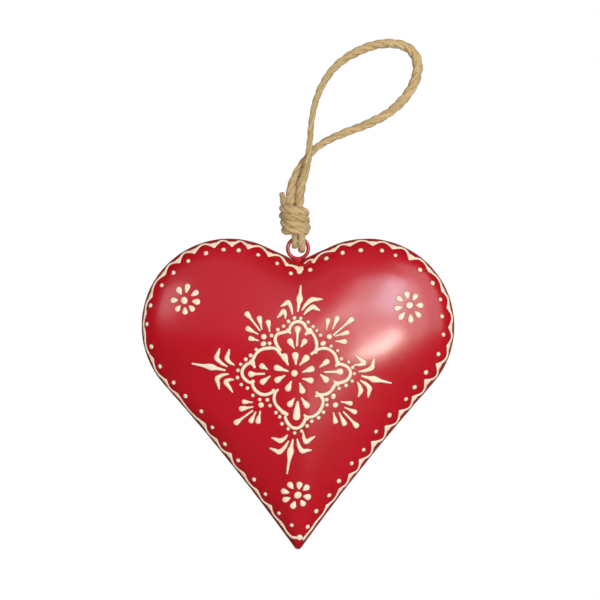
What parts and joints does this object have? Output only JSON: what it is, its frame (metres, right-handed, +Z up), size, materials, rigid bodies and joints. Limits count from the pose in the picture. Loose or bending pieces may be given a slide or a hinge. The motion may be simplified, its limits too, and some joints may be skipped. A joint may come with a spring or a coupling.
{
  "type": "tin heart ornament",
  "caption": "Puffed tin heart of soldered half shells with raised painted trim, hung from a wire eye by a whipped jute loop.",
  "frame": {"origin": "the highest point of the loop's inner side, where a nail or hook carries the ornament", "axes": "+Z up as the ornament hangs, -Y out of the painted front, +X to the viewer's right"},
  "size_m": [0.125, 0.0238, 0.2039],
  "materials": {
    "red_enamel": "satin",
    "seam_enamel": "satin",
    "jute": "matte"
  },
  "bodies": {
    "rope": {"rope_loop": "jute", "knot_wrap": "jute", "knot_core": "jute", "rope_bight": "jute", "rope_tail": "jute"},
    "heart": {"front_shell": "red_enamel", "back_shell": "red_enamel", "seam_bead": "seam_enamel", "wire_eye": "seam_enamel", "eye_collar": "seam_enamel"}
  },
  "joints": [
    {"name": "heart_swing", "type": "hinge", "parent": "rope", "child": "heart", "pos_m": [-0.036, 0, -0.07645], "axis": [1, 0, 0], "range_deg": [-90, 90]}
  ]
}
